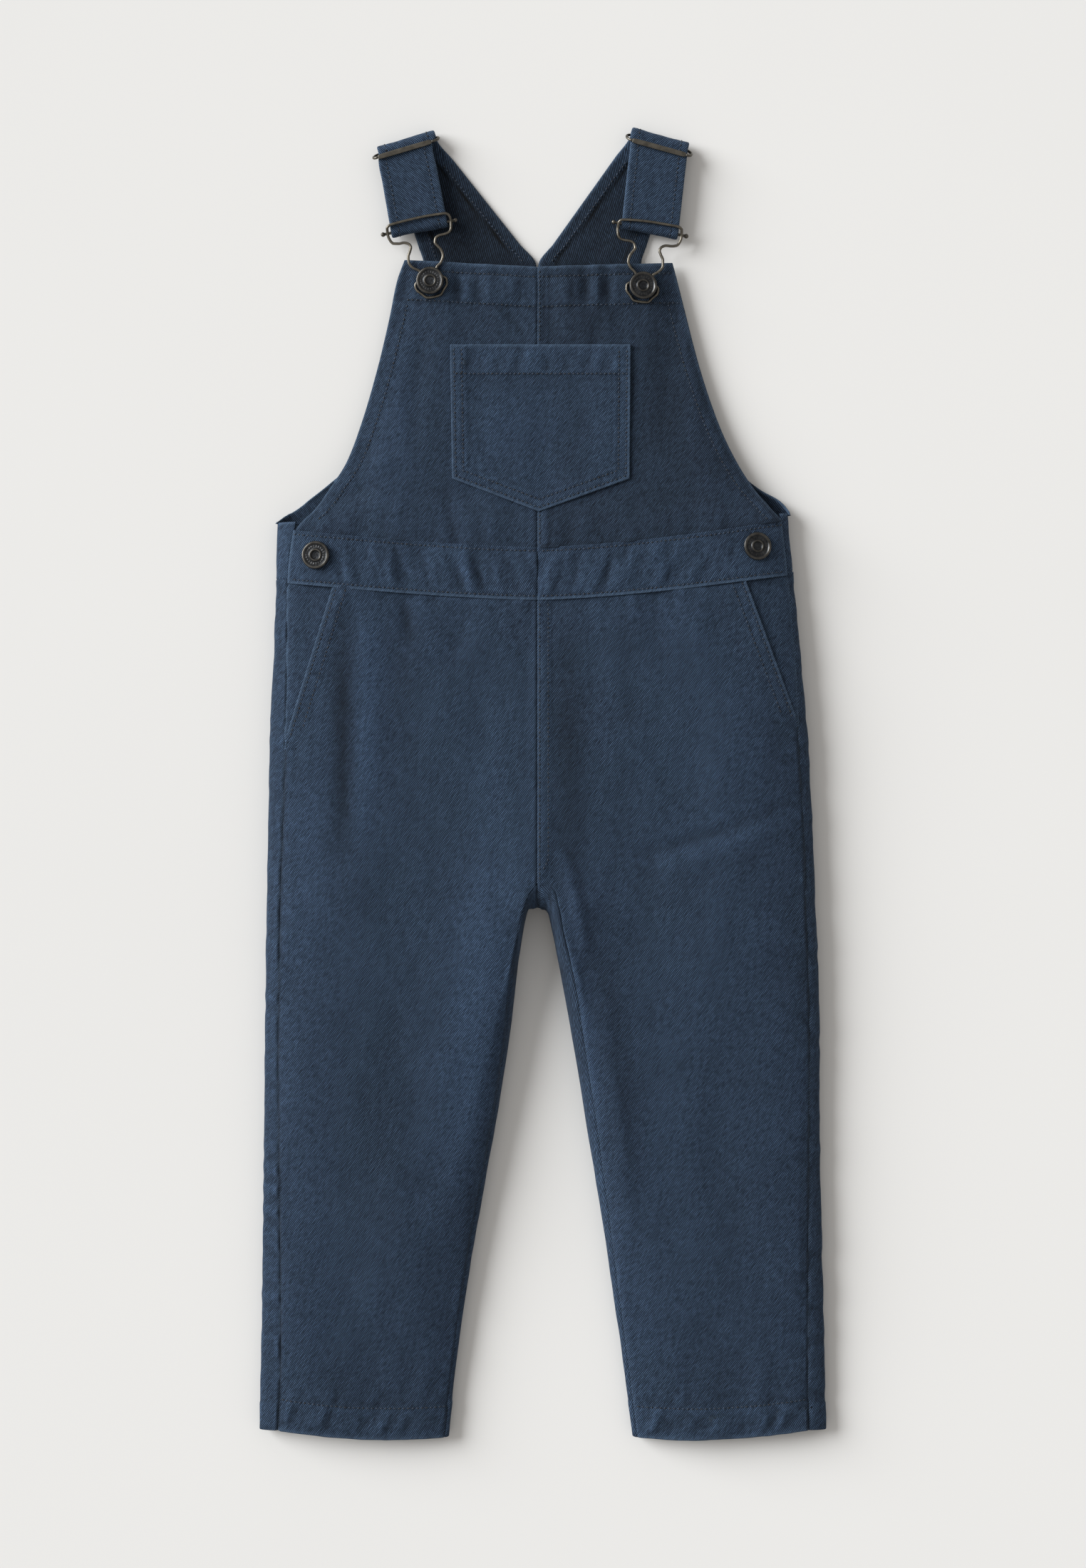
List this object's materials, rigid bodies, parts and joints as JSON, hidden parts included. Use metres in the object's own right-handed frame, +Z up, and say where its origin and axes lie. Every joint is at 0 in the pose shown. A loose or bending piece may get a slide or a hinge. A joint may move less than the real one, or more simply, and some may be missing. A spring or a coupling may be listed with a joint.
{
  "type": "denim overalls",
  "caption": "Child's bib overalls in navy denim laid flat on their back, with a patch bib pocket, slant hip pockets, and shoulder straps held by wire buckles on tack buttons.",
  "frame": {"origin": "middle of the garment's box in plan, on the surface it lies on", "axes": "+Y from the hems towards the shoulder straps, +Z up out of the front, +X to the right as seen from the front"},
  "size_m": [0.3446, 0.7988, 0.0275],
  "materials": {
    "denim": "washed navy cotton twill, matt",
    "gunmetal": "dark gunmetal plating, satin"
  },
  "bodies": {
    "root": {"front_left": "denim", "front_right": "denim", "back_left": "denim", "back_right": "denim", "pocket_facing_left": "denim", "pocket_facing_right": "denim", "waistband_front_left": "denim", "waistband_front_right": "denim", "waistband_back": "denim", "bib_left": "denim", "bib_right": "denim", "bib_pocket": "denim", "back_bib": "denim", "strap_left": "denim", "strap_right": "denim", "slider_bar_left": "gunmetal", "slider_bar_right": "gunmetal", "slider_wire_left": "gunmetal", "slider_wire_right": "gunmetal", "buckle_left": "gunmetal", "buckle_right": "gunmetal", "buckle_pin_left": "gunmetal", "buckle_pin_right": "gunmetal", "bib_button_left": "gunmetal", "bib_button_right": "gunmetal", "side_button_left": "gunmetal", "side_button_right": "gunmetal"}
  },
  "joints": []
}
